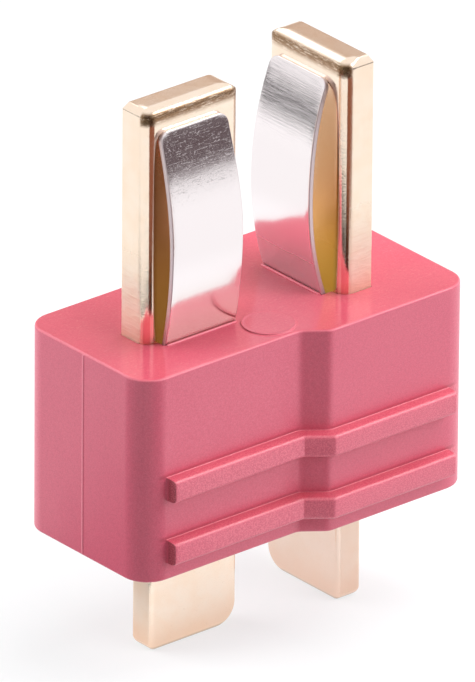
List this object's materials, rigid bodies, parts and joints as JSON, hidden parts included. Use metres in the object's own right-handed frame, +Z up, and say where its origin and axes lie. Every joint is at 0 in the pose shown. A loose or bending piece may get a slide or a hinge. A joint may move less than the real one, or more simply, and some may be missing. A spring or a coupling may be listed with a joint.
{
  "type": "battery lead connector",
  "caption": "Male battery lead plug: a ribbed red nylon housing holding two gold-plated blades set as a T, each with a bowed leaf spring above and a solder tail below.",
  "frame": {"origin": "centre of the box's underside, on the plane that the two solder tails stand on", "axes": "+Z up from the solder tails to the blades' tips; +X from the stem of the T to its crossbar; the stem blade's sprung face looks along -Y and the crossbar blade's along -X"},
  "size_m": [0.016, 0.01, 0.0233],
  "materials": {
    "housing_nylon": "fine satin moulding texture",
    "gold_plate": "polished pale gold plating",
    "spring_nickel": "bright nickel, brushed across at the free end"
  },
  "bodies": {
    "root": {"housing": "housing_nylon", "stem_blade": "gold_plate", "crossbar_blade": "gold_plate", "stem_spring": "spring_nickel", "crossbar_spring": "spring_nickel"}
  },
  "joints": []
}
